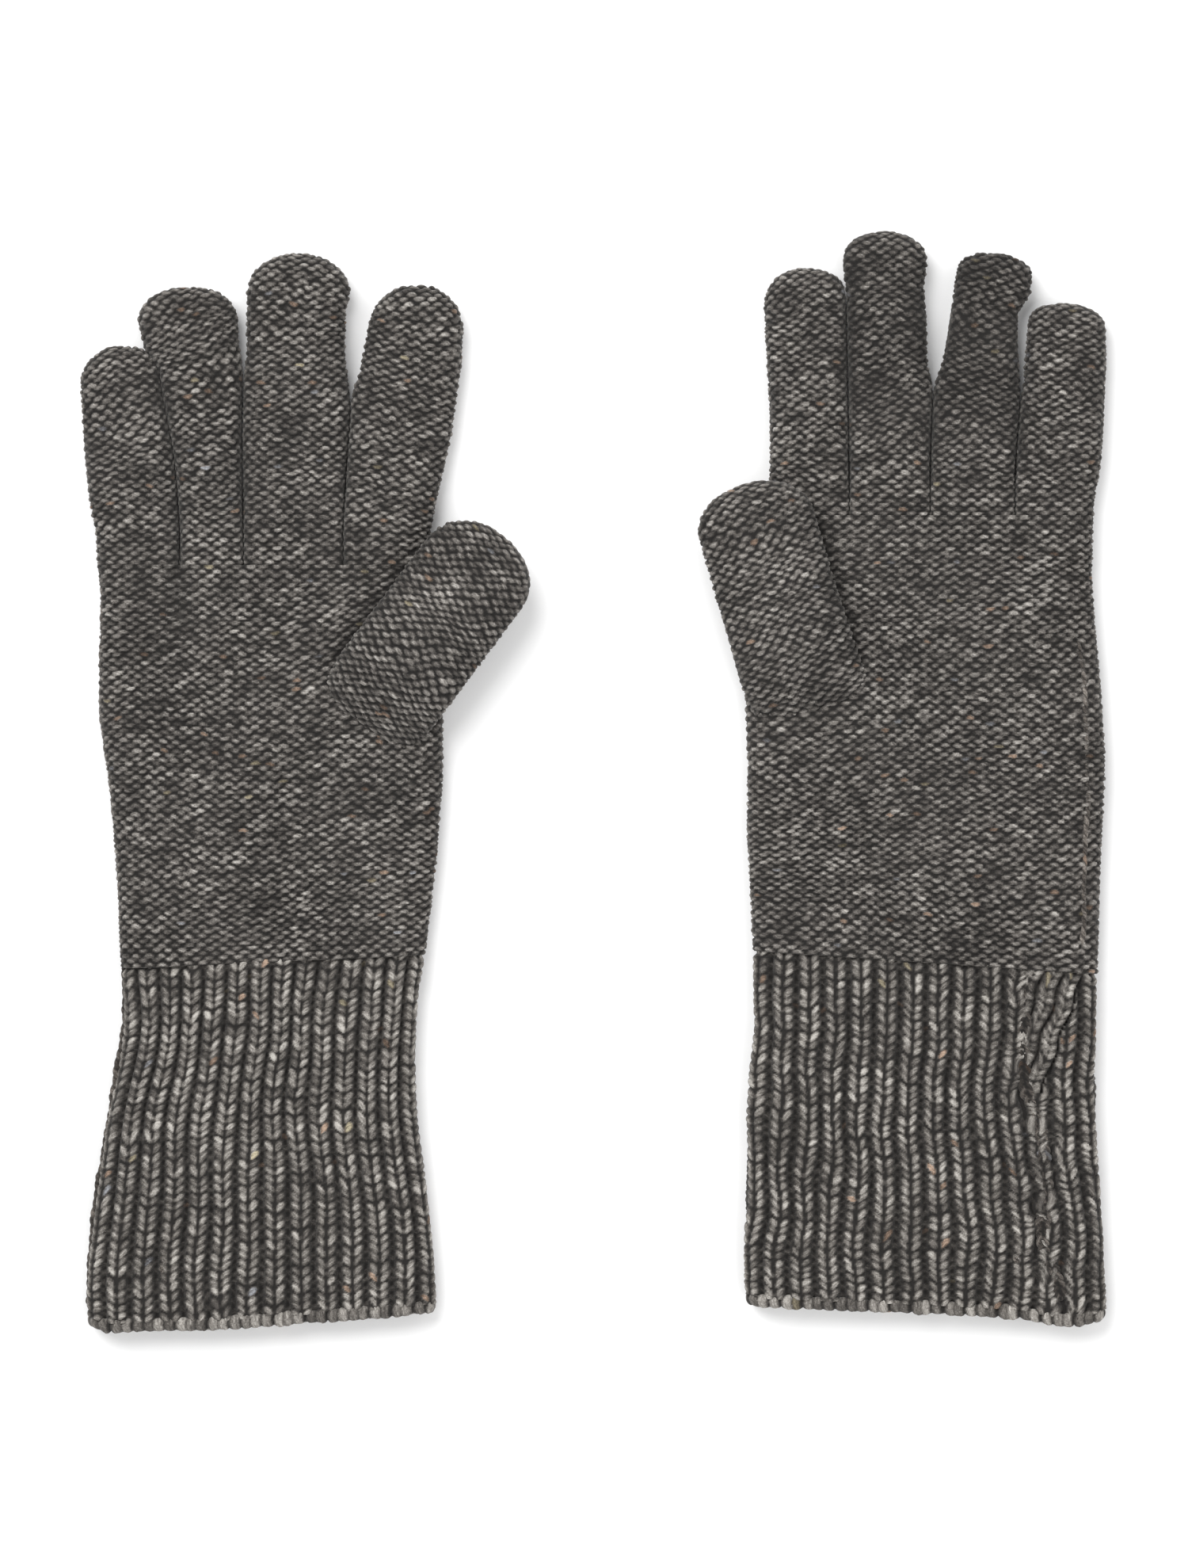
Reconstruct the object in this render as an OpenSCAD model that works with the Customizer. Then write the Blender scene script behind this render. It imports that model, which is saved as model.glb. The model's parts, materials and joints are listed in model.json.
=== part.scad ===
// A pair of long-cuffed knitted gloves that lies flat with its palms up, on the plane z = 0.
// X runs across the pair, Y runs towards the fingertips, and Z points up. Lengths are in millimetres.
// The right hand's glove is on the -X side and the left hand's glove is on the +X side.
// Every tube of knitting is a hollow shell with flat faces and half-round sides.

/* [Fabric] */
// Thickness of one layer of knitting
wall = 2; // [1.6:0.1:2.2]
// Height of a tube of knitting that lies flat
tube_h = 10; // [9:0.5:12]
// Gap between two pieces that move against each other
gap = 0.3; // [0.2:0.1:0.6]
// Colour of the hand and fingers, a marled grey wool
hand_colour = "#524f4c"; // [#524f4c, #6a6763, #3c3a38]
// Colour of the ribbed cuff, where the same wool shows more of its light strand
cuff_colour = "#5c5a57"; // [#5c5a57, #74716d, #444240]
// Colour of the seams and yarn ends
seam_colour = "#3a3634"; // [#3a3634, #524f4c, #6b4a32]

/* [Fingers] */
// Distance from the root fold to the knuckle fold of every finger
knuckle_at = 25; // [20:1:30]
// Length of a finger's rounded end
finger_end = 11; // [8:0.5:14]
// How far up the pair the fingers of the right glove start
right_root_y = 70; // [65:1:75]
// Middle of each right finger at its root: little, ring, middle, index
right_finger_x = [-128.2, -107.4, -84.4, -56.9]; // [-150:0.1:150]
// Sideways lean of each right finger's end
right_finger_lean = [-5.4, -6, 2.4, 8]; // [-12:0.1:12]
// Length of each right finger
right_finger_len = [53, 69.5, 79, 70]; // [50:0.5:90]
// Width of each right finger at its root
right_finger_w = [23.2, 17.3, 27.5, 26.3]; // [16:0.1:32]
// Width of each right finger near its end
right_end_w = [20, 24.9, 30, 27.5]; // [16:0.1:32]
// How far up the pair the fingers of the left glove start
left_root_y = 84; // [82:1:88]
// Middle of each left finger at its root: little, ring, middle, index
left_finger_x = [129.5, 106.2, 83, 60.4]; // [-150:0.1:150]
// Sideways lean of each left finger's end
left_finger_lean = [4.2, 6.2, 0, -1.8]; // [-12:0.1:12]
// Length of each left finger
left_finger_len = [51, 65, 71.3, 60.3]; // [50:0.5:90]
// Width of each left finger at its root
left_finger_w = [22, 23.2, 22, 21.8]; // [16:0.1:32]
// Width of each left finger near its end
left_end_w = [20.4, 21, 24.2, 22.8]; // [16:0.1:32]

/* [Thumbs] */
// Distance from the middle of a thumb's round base to its tip
thumb_len = 54; // [50:1:60]
// Width of a thumb
thumb_w = 33; // [30:0.5:36]
// Distance from the middle of a thumb's round base to its knuckle fold
thumb_knuckle_at = 24; // [20:1:28]
// Length of a thumb's rounded end
thumb_end = 14; // [10:0.5:16]
// Diameter of the opening between the hand and the thumb
thumb_hole_d = 16; // [12:1:18]
// Middle of the right thumb's round base, along X and Y
right_thumb_at = [-57.8, 26.5]; // [-70:0.1:70]
// Direction of the right thumb, anticlockwise from +Y
right_thumb_turn = -36.9; // [-45:0.1:-30]
// Middle of the left thumb's round base, along X and Y
left_thumb_at = [57, 32.3]; // [-70:0.1:70]
// Direction of the left thumb, anticlockwise from +Y
left_thumb_turn = 16; // [10:0.1:30]

/* [Cuffs] */
// Length of the cast-on edge at the open end of a cuff
hem_len = 3.4; // [2.5:0.1:5]
// How much higher the cast-on edge stands than the cuff
hem_rise = 0.6; // [0.2:0.1:1]

/* [Seams] */
// Thickness of a sewn seam
seam_d = 2.4; // [1.6:0.2:3]
// Width of the darned end of the seam's yarn
knot_d = 5; // [3:0.5:7]

/* [Hidden] */
// Fingers are counted little, ring, middle, index
LITTLE = 0;
RING = 1;
MIDDLE = 2;
INDEX = 3;
// Steps in each half-round side of a tube, steps in each rounded end, and sides of a seam's bead
side_steps = 6;
end_steps = 4;
bead_sides = 8;
ring_points = 2 * (side_steps + 1);
// A rounded end stops just short of its point, so that its last ring keeps an area
end_turn = 82;
// Where along a finger its width starts to change, and the share of its length this takes
swell_from = 0.3;
swell_over = 0.55;
// A finger leans more towards its end than at its root
lean_power = 1.3;
// Slope of the wrist line and of the hem across each glove, as rise over run
right_wrist_slope = 0.044;
left_wrist_slope = -0.067;
right_hem_slope = 0.06;
left_hem_slope = -0.03;
// Outlines of the hands and cuffs, from low Y to high Y: [y, left edge, right edge]
right_hand_edges = [
    [-49.2, -132.8, -47.2], [-25, -133.8, -44.6], [0, -136, -42.6],
    [20, -139.2, -42.4], [45, -138.6, -43.2], [right_root_y, -139.8, -43.75]
];
left_hand_edges = [
    [-49.4, 44.9, 141.4], [-20, 44, 142.3], [5, 43.2, 143.6],
    [25, 43.4, 142.6], [50, 46, 140.2], [left_root_y, 49.5, 140.5]
];
right_cuff_edges = [
    [-148.6, -142.2, -44], [-135, -142.4, -44.4], [-115, -140.4, -46.6], [-93, -136.4, -49.2],
    [-76, -132.8, -49.4], [-62, -132, -48.4], [-49.2, -132.8, -47.2]
];
left_cuff_edges = [
    [-147, 42.6, 143.8], [-137, 42.1, 143.6], [-118, 42.4, 142.4], [-94, 43, 141.3],
    [-78, 44.4, 140.9], [-62, 45.2, 140.9], [-49.4, 44.9, 141.4]
];
// How far the open end of a hem draws in at each side
hem_draw = 1;
// Middle lines of the left glove's seams, which show on its palm side, from low Y to high Y: [x, y]
left_hand_seam = [[136.8, -43], [137.6, -20], [138.6, 5], [137.6, 25], [135.2, 50], [135, 72]];
left_cuff_seam = [[130.6, -142], [126, -130], [127.4, -112], [124.6, -96], [121, -84], [120.2, -70], [121, -57]];
right_knot_at = [-121, -136];
left_knot_at = [118.5, -133.2];
knot_h = 2.6;
// A seam keeps this clear of the tube it lies against, so that the two stay separate solids
seam_clear = 0.1;

// ---- Slices, rings and shells ----

// A slice across a flattened tube. slope tilts it in plan, as rise over run.
function slice(y, left, right, low = 0, high = tube_h, slope = 0) = [y, left, right, low, high, slope];

// The points round a slice, drawn in by inset: flat below and above, half round at both sides
function ring(s, inset) = let (
    r = (s[4] - s[3]) / 2 - inset,
    right_x = s[2] - inset - r,
    left_x = s[1] + inset + r,
    mid_x = (s[1] + s[2]) / 2,
    mid_z = (s[3] + s[4]) / 2
) [
    for (side = [0, 1], k = [0 : side_steps]) let (
        turn = -90 + 180 * side + 180 * k / side_steps,
        x = (side == 0 ? right_x : left_x) + r * cos(turn)
    ) [x, s[0] + s[5] * (x - mid_x), mid_z + r * sin(turn)]
];

// Faces of a skin over rings of n points each, seen from outside the tube
function skin(first, rings, n) = [
    for (i = [0 : rings - 2], k = [0 : n - 1]) let (
        a = first + i * n + k,
        b = first + i * n + (k + 1) % n
    ) [a, b, b + n, a + n]
];

// Flat face over one ring of n points
function cap(first, n) = [[for (k = [0 : n - 1]) first + k]];

// Rim between an outer ring and an inner ring, at the end with the highest y
function rim(outer, inner, n) = [
    for (k = [0 : n - 1]) let (next = (k + 1) % n)
        [outer + k, outer + next, inner + next, inner + k]
];

function turned(faces) = [for (f = faces) [for (i = [len(f) - 1 : -1 : 0]) f[i]]];

// A hollow tube one layer of knitting thick. Each end is open unless it is named as closed.
module tube(outer, inner, closed_low = false, closed_high = false) {
    n = ring_points;
    inside = n * len(outer);
    outer_top = n * (len(outer) - 1);
    inner_top = inside + n * (len(inner) - 1);
    low_end = closed_low
        ? concat(turned(cap(0, n)), cap(inside, n))
        : turned(rim(0, inside, n));
    high_end = closed_high
        ? concat(cap(outer_top, n), turned(cap(inner_top, n)))
        : rim(outer_top, inner_top, n);
    polyhedron(
        points = concat([for (s = outer) each ring(s, 0)], [for (s = inner) each ring(s, wall)]),
        faces = concat(skin(0, len(outer), n), turned(skin(inside, len(inner), n)), low_end, high_end),
        convexity = 6
    );
}

// A solid round bead along a route of [x, y] points, at height z
module bead(route, z, d) {
    n = bead_sides;
    last = len(route) - 1;
    polyhedron(
        points = [
            for (p = route, k = [0 : n - 1]) let (turn = 360 * k / n)
                [p[0] + d / 2 * cos(turn), p[1], z + d / 2 * sin(turn)]
        ],
        faces = concat(skin(0, last + 1, n), turned(cap(0, n)), cap(last * n, n)),
        convexity = 4
    );
}

// ---- Fingers and thumbs ----

// How far a rounded end has closed in, from 1 where it starts to 0 at its point
function rounding(to_tip, end_len) = to_tip >= end_len ? 1 : sqrt(max(0, 1 - pow(1 - to_tip / end_len, 2)));

function swell(share) = let (t = min(max((share - swell_from) / swell_over, 0), 1)) t * t * (3 - 2 * t);

// Places along a rounded end of a tube that is len long
function end_places(len, end_len) = [
    for (k = [1 : end_steps]) len - end_len * (1 - sin(end_turn * k / end_steps))
];

// A slice of a finger at y, for a finger [x, lean, len, root width, end width] whose tip is at tip_y
function finger_slice(y, f, tip_y) = let (
    share = y / f[2],
    middle = f[0] + f[1] * pow(max(share, 0), lean_power),
    half = (f[3] + (f[4] - f[3]) * swell(share)) / 2 * rounding(tip_y - y, finger_end),
    half_h = tube_h / 2 * rounding(tip_y - y, tube_h / 2)
) slice(y, middle - half, middle + half, tube_h / 2 - half_h, tube_h / 2 + half_h);

// The root half of a finger, open at both ends
module finger_root(f, root_y) {
    places = [gap / 2, knuckle_at / 2, knuckle_at - gap / 2];
    slices = [for (y = places) finger_slice(y, f, f[2])];
    translate([0, root_y, 0])
        color(hand_colour)
        tube(slices, slices);
}

// The tip half of a finger, closed at its end
module finger_tip(f, root_y) {
    start = knuckle_at + gap / 2;
    full = f[2] - finger_end;
    body = [start, (start + full) / 2, full];
    outer = [for (y = concat(body, end_places(f[2], finger_end))) finger_slice(y, f, f[2])];
    inner = [
        for (y = concat(body, end_places(f[2] - wall, finger_end - wall)))
            finger_slice(y, f, f[2])
    ];
    translate([0, root_y, 0])
        color(hand_colour)
        tube(outer, inner, closed_high = true);
}

function right_finger(i) = [
    right_finger_x[i], right_finger_lean[i], right_finger_len[i], right_finger_w[i], right_end_w[i]
];

function left_finger(i) = [
    left_finger_x[i], left_finger_lean[i], left_finger_len[i], left_finger_w[i], left_end_w[i]
];

module right_little_root() { finger_root(right_finger(LITTLE), right_root_y); }
module right_little_tip() { finger_tip(right_finger(LITTLE), right_root_y); }
module right_ring_root() { finger_root(right_finger(RING), right_root_y); }
module right_ring_tip() { finger_tip(right_finger(RING), right_root_y); }
module right_middle_root() { finger_root(right_finger(MIDDLE), right_root_y); }
module right_middle_tip() { finger_tip(right_finger(MIDDLE), right_root_y); }
module right_index_root() { finger_root(right_finger(INDEX), right_root_y); }
module right_index_tip() { finger_tip(right_finger(INDEX), right_root_y); }

module left_little_root() { finger_root(left_finger(LITTLE), left_root_y); }
module left_little_tip() { finger_tip(left_finger(LITTLE), left_root_y); }
module left_ring_root() { finger_root(left_finger(RING), left_root_y); }
module left_ring_tip() { finger_tip(left_finger(RING), left_root_y); }
module left_middle_root() { finger_root(left_finger(MIDDLE), left_root_y); }
module left_middle_tip() { finger_tip(left_finger(MIDDLE), left_root_y); }
module left_index_root() { finger_root(left_finger(INDEX), left_root_y); }
module left_index_tip() { finger_tip(left_finger(INDEX), left_root_y); }

// A slice of a thumb at y from the middle of its round base. The thumb lies on top of the palm.
function thumb_slice(y) = let (
    to_tip = thumb_len - y,
    to_base = y + thumb_w / 2,
    half = thumb_w / 2 * rounding(to_tip, thumb_end) * rounding(to_base, thumb_w / 2),
    half_h = tube_h / 2 * rounding(to_tip, tube_h / 2) * rounding(to_base, tube_h / 2),
    middle = tube_h + gap + tube_h / 2
) slice(y, -half, half, middle - half_h, middle + half_h);

// Places along the round base of a thumb, from its back to its middle, for a base of this radius
function base_places(radius) = [
    for (k = [end_steps : -1 : 1]) -radius * sin(end_turn * k / end_steps)
];

module at_thumb(place, turn) {
    translate([place[0], place[1], 0])
        rotate([0, 0, turn])
        children();
}

// The root half of a thumb: closed at its round base, open at its knuckle and over the palm's opening
module thumb_root(place, turn) {
    body = [0, thumb_knuckle_at - gap / 2];
    outer = [for (y = concat(base_places(thumb_w / 2), body)) thumb_slice(y)];
    inner = [for (y = concat(base_places(thumb_w / 2 - wall), body)) thumb_slice(y)];
    at_thumb(place, turn)
        color(hand_colour)
        difference() {
            tube(outer, inner, closed_low = true);
            translate([0, 0, tube_h])
                cylinder(d = thumb_hole_d, h = gap + wall + 1, $fn = 24);
        }
}

// The tip half of a thumb, closed at its end
module thumb_tip(place, turn) {
    start = thumb_knuckle_at + gap / 2;
    full = thumb_len - thumb_end;
    outer = [for (y = concat([start, full], end_places(thumb_len, thumb_end))) thumb_slice(y)];
    inner = [
        for (y = concat([start, full], end_places(thumb_len - wall, thumb_end - wall)))
            thumb_slice(y)
    ];
    at_thumb(place, turn)
        color(hand_colour)
        tube(outer, inner, closed_high = true);
}

module right_thumb_root() { thumb_root(right_thumb_at, right_thumb_turn); }
module right_thumb_tip() { thumb_tip(right_thumb_at, right_thumb_turn); }
module left_thumb_root() { thumb_root(left_thumb_at, left_thumb_turn); }
module left_thumb_tip() { thumb_tip(left_thumb_at, left_thumb_turn); }

// ---- Hands ----

// A hand tube over its outline, cut along the wrist line, with the opening into its thumb
module hand(edges, wrist_slope, thumb_place) {
    last = len(edges) - 1;
    slices = [
        for (i = [0 : last]) let (
            e = edges[i],
            y = e[0] + (i == 0 ? gap / 2 : 0) - (i == last ? gap / 2 : 0)
        ) slice(y, e[1], e[2], slope = i == 0 ? wrist_slope : 0)
    ];
    color(hand_colour)
        difference() {
            tube(slices, slices);
            translate([thumb_place[0], thumb_place[1], tube_h - wall - 1])
                cylinder(d = thumb_hole_d, h = wall + 2, $fn = 24);
        }
}

module right_hand() { hand(right_hand_edges, right_wrist_slope, right_thumb_at); }
module left_hand() { hand(left_hand_edges, left_wrist_slope, left_thumb_at); }

// ---- Cuffs and cast-on edges ----

// A cuff tube over its outline, from the cast-on edge up to the wrist line
module cuff(edges, hem_slope, wrist_slope) {
    last = len(edges) - 1;
    slices = [
        for (i = [0 : last]) let (
            e = edges[i],
            y = e[0] - (i == last ? gap / 2 : 0),
            slope = i == 0 ? hem_slope : i == last ? wrist_slope : 0
        ) slice(y, e[1], e[2], slope = slope)
    ];
    color(cuff_colour)
        tube(slices, slices);
}

module right_cuff() { cuff(right_cuff_edges, right_hem_slope, right_wrist_slope); }
module left_cuff() { cuff(left_cuff_edges, left_hem_slope, left_wrist_slope); }

// The cast-on edge, which meets the low end of its cuff face to face
module hem(edges, slope) {
    e = edges[0];
    slices = [
        slice(e[0] - hem_len, e[1] + hem_draw, e[2] - hem_draw, high = tube_h, slope = slope),
        slice(e[0], e[1], e[2], high = tube_h + hem_rise, slope = slope)
    ];
    color(cuff_colour)
        tube(slices, slices);
}

module right_hem() { hem(right_cuff_edges, right_hem_slope); }
module left_hem() { hem(left_cuff_edges, left_hem_slope); }

// ---- Seams and yarn ends ----

// Route of a seam down the left edge of a tube. Its ends follow the slopes of the tube's two ends.
function edge_seam(edges, low_slope, high_slope) = let (last = len(edges) - 1) [
    for (i = [0 : last]) let (
        e = edges[i],
        slope = i == 0 ? low_slope : i == last ? high_slope : 0,
        inward = i == 0 ? gap / 2 : i == last ? -gap / 2 : 0
    ) [e[1] - seam_d / 2 - seam_clear, e[0] + inward - slope * (e[2] - e[1]) / 2]
];

module right_side_seam() {
    color(seam_colour)
        bead(edge_seam(right_hand_edges, right_wrist_slope, 0), tube_h / 2, seam_d);
}

module right_cuff_seam() {
    color(seam_colour)
        bead(edge_seam(right_cuff_edges, right_hem_slope, right_wrist_slope), tube_h / 2, seam_d);
}

// The left glove's seam has rolled on to its palm side
module face_seam(route) {
    color(seam_colour)
        bead(route, tube_h + seam_d / 2 + seam_clear, seam_d);
}

module left_side_seam() { face_seam(left_hand_seam); }
module left_cuff_seam() { face_seam(left_cuff_seam); }

// A small round knot where the end of the seam's yarn is darned in
module yarn_end(place) {
    color(seam_colour)
        translate([place[0], place[1], tube_h + seam_clear])
        intersection() {
            scale([1, 1, 2 * knot_h / knot_d])
                sphere(d = knot_d, $fn = 24);
            translate([0, 0, knot_d])
                cube(2 * knot_d, center = true);
        }
}

module right_yarn_end() { yarn_end(right_knot_at); }
module left_yarn_end() { yarn_end(left_knot_at); }

right_hand();
right_side_seam();
right_cuff();
right_cuff_seam();
right_hem();
right_yarn_end();
right_little_root();
right_little_tip();
right_ring_root();
right_ring_tip();
right_middle_root();
right_middle_tip();
right_index_root();
right_index_tip();
right_thumb_root();
right_thumb_tip();
left_hand();
left_side_seam();
left_cuff();
left_cuff_seam();
left_hem();
left_yarn_end();
left_little_root();
left_little_tip();
left_ring_root();
left_ring_tip();
left_middle_root();
left_middle_tip();
left_index_root();
left_index_tip();
left_thumb_root();
left_thumb_tip();
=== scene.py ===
import json
import math

import bpy
import numpy as np
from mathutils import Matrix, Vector


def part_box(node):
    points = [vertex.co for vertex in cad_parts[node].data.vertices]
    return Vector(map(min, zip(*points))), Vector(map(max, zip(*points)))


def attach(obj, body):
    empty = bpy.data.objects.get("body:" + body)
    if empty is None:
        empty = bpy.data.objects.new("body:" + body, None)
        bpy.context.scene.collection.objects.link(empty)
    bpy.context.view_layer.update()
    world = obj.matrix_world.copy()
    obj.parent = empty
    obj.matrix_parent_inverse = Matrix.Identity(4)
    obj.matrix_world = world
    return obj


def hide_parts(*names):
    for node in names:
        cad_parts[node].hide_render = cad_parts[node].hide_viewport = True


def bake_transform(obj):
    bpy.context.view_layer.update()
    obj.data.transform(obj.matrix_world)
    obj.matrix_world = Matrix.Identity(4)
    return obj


# A pair of long-cuffed knitted gloves that lies palms up. Lengths here are in millimetres, and meshes are in metres.
# Every outline comes from the frame. Each stitch is a raised lump of yarn in the mesh itself.

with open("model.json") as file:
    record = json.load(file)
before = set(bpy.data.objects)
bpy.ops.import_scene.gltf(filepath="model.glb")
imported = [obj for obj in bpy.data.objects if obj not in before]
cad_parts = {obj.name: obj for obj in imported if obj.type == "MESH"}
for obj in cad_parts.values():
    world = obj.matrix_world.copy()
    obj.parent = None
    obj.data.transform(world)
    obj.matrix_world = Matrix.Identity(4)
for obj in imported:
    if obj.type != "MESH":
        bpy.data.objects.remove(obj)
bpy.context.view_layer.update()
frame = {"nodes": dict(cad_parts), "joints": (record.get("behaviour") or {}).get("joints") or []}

MM = 0.001
WALE = 3.78  # width of a stitch on the hand
COURSE = 2.53  # height of a row of stitches on the hand
ROW = COURSE / 2  # the purl side shows two staggered lines of lumps for each row
RIB_ROW = 2.5  # height of a row of stitches on the cuff
PURL_LUMP = (1.62, 0.78)  # half length and half width of a lump on the purl side
RIB_LUMP = (1.92, 1.02)  # the same for one arm of a rib's V
LIP = 0.35  # a piece's upper rim reaches this far under the next piece
LIP_SINK = 0.14
RIBS = 14.0  # ribs across one face of a cuff
TUBE_H = 10.0  # height of a tube of knitting that lies flat
MID = TUBE_H / 2
FABRIC = 2.0  # thickness of one layer of knitting
INSET = 0.56  # the ground of the knitting lies this far inside the frame's surface, and the stitches stand up from it
FOLD = 9.0  # the hand ends, and a finger's tip half starts, this far below a fold's line
THUMB_FOLD = 8.0  # the thumb's tip half starts this far below its knuckle
ROW_STEP = 0.38  # distance between the mesh's rings on a hand or cuff
FINE_STEP = 0.36  # the same on fingers, thumbs and seams
STEP = 0.58  # distance between the mesh's points round a finger
HAND_POINTS = 163  # the mesh's points across the upper face of a hand
CUFF_POINTS = 179
CORD_POINTS = 20  # the mesh's points round a sewn line of yarn
SIDE_ROUND = 3.4  # how round a finger's sides are
FINGERS = ("little", "ring", "middle", "index")


# ---- Repeatable noise ----


def rnd(a, b, k):
    """A repeatable number from 0 to 1 for each pair of whole numbers a and b."""
    n = (a & 0xFFFFFFFF).astype(np.uint32) * np.uint32(2654435761)
    n ^= (b & 0xFFFFFFFF).astype(np.uint32) * np.uint32(2246822519)
    n ^= np.uint32((k * 3266489917 + 374761393) & 0xFFFFFFFF)
    n ^= n >> np.uint32(15)
    n *= np.uint32(2246822519)
    n ^= n >> np.uint32(13)
    n *= np.uint32(3266489917)
    n ^= n >> np.uint32(16)
    return n.astype(np.float64) / 4294967295.0


def wave(x, y, size, seed):
    """Smooth uneven waves from -1 to 1, about size mm long."""
    r = np.random.default_rng(seed)
    total = 0.0
    for _ in range(6):
        turn, phase = r.uniform(0, 2 * math.pi, 2)
        k = 2 * math.pi / (size * r.uniform(0.75, 1.6))
        total = total + np.sin(k * (x * math.cos(turn) + y * math.sin(turn)) + phase)
    return total / 3.2


def smooth(t):
    t = np.clip(t, 0, 1)
    return t * t * (3 - 2 * t)


def bell(d, width):
    """1 at 0, fading over this width on each side."""
    return np.exp(-((d / width) ** 2))


def hill(x, y, at_x, at_y, wide, long):
    return np.exp(-(((x - at_x) / wide) ** 2) - ((y - at_y) / long) ** 2)


def dome(q):
    """The height of a round lump, where q falls from 1 at its middle to 0 at its edge."""
    return np.sqrt(np.maximum(q, 0))


def soft(values, sigma, step):
    """values smoothed along their length, keeping the slope at both ends."""
    n = int(3 * sigma / step) + 1
    k = np.exp(-0.5 * (np.arange(-n, n + 1) * step / sigma) ** 2)
    k /= k.sum()
    low = 2 * values[0] - values[n:0:-1]
    high = 2 * values[-1] - values[-2 : -n - 2 : -1]
    return np.convolve(np.concatenate([low, values, high]), k, "valid")


# ---- Reading the frame ----


def mesh_of(node):
    me = frame["nodes"][node].data
    co = np.empty(len(me.vertices) * 3, np.float32)
    me.vertices.foreach_get("co", co)
    ed = np.empty(len(me.edges) * 2, np.int32)
    me.edges.foreach_get("vertices", ed)
    return co.reshape(-1, 3).astype(float) / MM, ed.reshape(-1, 2)


def edges_at(node, ys):
    """Left and right edge of a node at each of these ys."""
    co, ed = mesh_of(node)
    a, b = co[ed[:, 0]], co[ed[:, 1]]
    left, right = [], []
    for y in ys:
        m = (a[:, 1] <= y) != (b[:, 1] <= y)
        t = (y - a[m, 1]) / (b[m, 1] - a[m, 1])
        x = a[m, 0] + t * (b[m, 0] - a[m, 0])
        left.append(x.min())
        right.append(x.max())
    return np.array(left), np.array(right)


def joint_at(name):
    return np.array(next(j["pos_m"] for j in frame["joints"] if j["name"] == name)) / MM


# ---- Stitches ----


def blank(u):
    return {
        "h": np.zeros(u.shape),
        "along": np.zeros(u.shape),
        "across": np.zeros(u.shape),
        "who": np.zeros(u.shape),
        "tone": np.zeros(u.shape),
    }


def raise_lump(s, h, along, across, who, tone):
    m = h > s["h"]
    for key, value in (("h", h), ("along", along), ("across", across), ("who", who), ("tone", tone)):
        s[key] = np.where(m, value, s[key])


def run_tone(c, r, seed):
    """The marl's lightness along one row's strand of yarn, from -1 to 1."""
    phase = rnd(r, r * 0 + 5, seed) * 40
    waves = np.sin(c * 0.83 + phase) + np.sin(c * 0.37 + phase * 1.7) + np.sin(c * 1.9 + phase * 2.3)
    return waves / 2.4


def purl(u, v, seed):
    """The purl side of plain knitting: staggered lines of short lumps. u counts stitches and v lines of lumps."""
    s = blank(u)
    r0 = np.floor(v).astype(np.int64)
    for dr in (-1, 0, 1, 2):
        r = r0 + dr
        odd = r & 1
        c0 = np.floor(u - 0.5 * odd).astype(np.int64)
        for dc in (0, 1):
            c = c0 + dc
            x = (u - c - 0.5 * odd - 0.16 * (rnd(c, r, seed) - 0.5)) * WALE
            y = (v - r - 0.26 * (rnd(c, r, seed + 1) - 0.5)) * ROW
            y = y + np.where(odd, -0.08, 0.08) * x * x
            turn = 0.2 * (rnd(c, r, seed + 2) - 0.5) + np.where(odd, 0.08, -0.04)
            along, across = x + turn * y, y - turn * x
            la = PURL_LUMP[0] + 0.36 * (rnd(c, r, seed + 3) - 0.5)
            lb = PURL_LUMP[1] + 0.14 * (rnd(c, r, seed + 4) - 0.5)
            q = 1 - (along / la) ** 2 - (across / lb) ** 2
            big = 0.84 + 0.32 * rnd(c, r, seed + 5)
            tone = 0.42 * run_tone(c, r // 2, seed) + 0.95 * (rnd(c, r, seed + 6) - 0.5)
            raise_lump(s, dome(q) * big, along, across, rnd(c, r, seed + 7), tone)
    return s


def rib(u, v, seed, pitch):
    """One by one rib: columns of V stitches with deep grooves between them. u counts ribs and v counts rows."""
    s = blank(u)
    c = np.round(u).astype(np.int64)
    x = (u - c) * pitch
    r0 = np.floor(v).astype(np.int64)
    lean = math.radians(52)
    co, si = math.cos(lean), math.sin(lean)
    for dr in (-1, 0, 1, 2):
        r = r0 + dr
        y = (v - r - 0.28 * (rnd(c, r, seed) - 0.5)) * RIB_ROW
        for side in (-1, 1):
            k = seed + 10 * (side + 1)
            px = x - side * (0.2 * pitch + 0.26 * (rnd(c, r, k + 1) - 0.5))
            along = px * side * co + y * si
            across = -px * side * si + y * co
            across = across + 0.05 * along * along
            la = RIB_LUMP[0] + 0.3 * (rnd(c, r, k + 2) - 0.5)
            lb = (RIB_LUMP[1] + 0.14 * (rnd(c, r, k + 3) - 0.5)) * (1 + 0.16 * along / la)
            q = 1 - (along / la) ** 2 - (across / lb) ** 2
            tone = 0.45 * run_tone(c * 2 + side, r, seed) + 0.9 * (rnd(c, r, k + 4) - 0.5)
            h = dome(q) * (0.85 + 0.3 * rnd(c, r, k + 5))
            raise_lump(s, h, along, across, rnd(c, r, k + 6), tone)
        gap = x - np.where(x > 0, 0.5, -0.5) * pitch
        g = c + (x > 0)
        q = 1 - (gap / 1.25) ** 2 - ((y + 0.6) / 1.05) ** 2
        # painted shade: the purl lumps deep in a groove are painted darker
        tone = 0.8 * (rnd(g, r, seed + 41) - 0.5) - 0.45
        raise_lump(s, dome(q) * 0.62, gap, y, rnd(g, r, seed + 42), tone)
    s["groove"] = smooth((np.abs(x) / pitch - 0.355) / 0.12)
    s["crown"] = 1 - (np.minimum(np.abs(x), 0.4 * pitch) / (0.4 * pitch)) ** 2
    return s


# ---- Tubes of knitting ----


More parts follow.
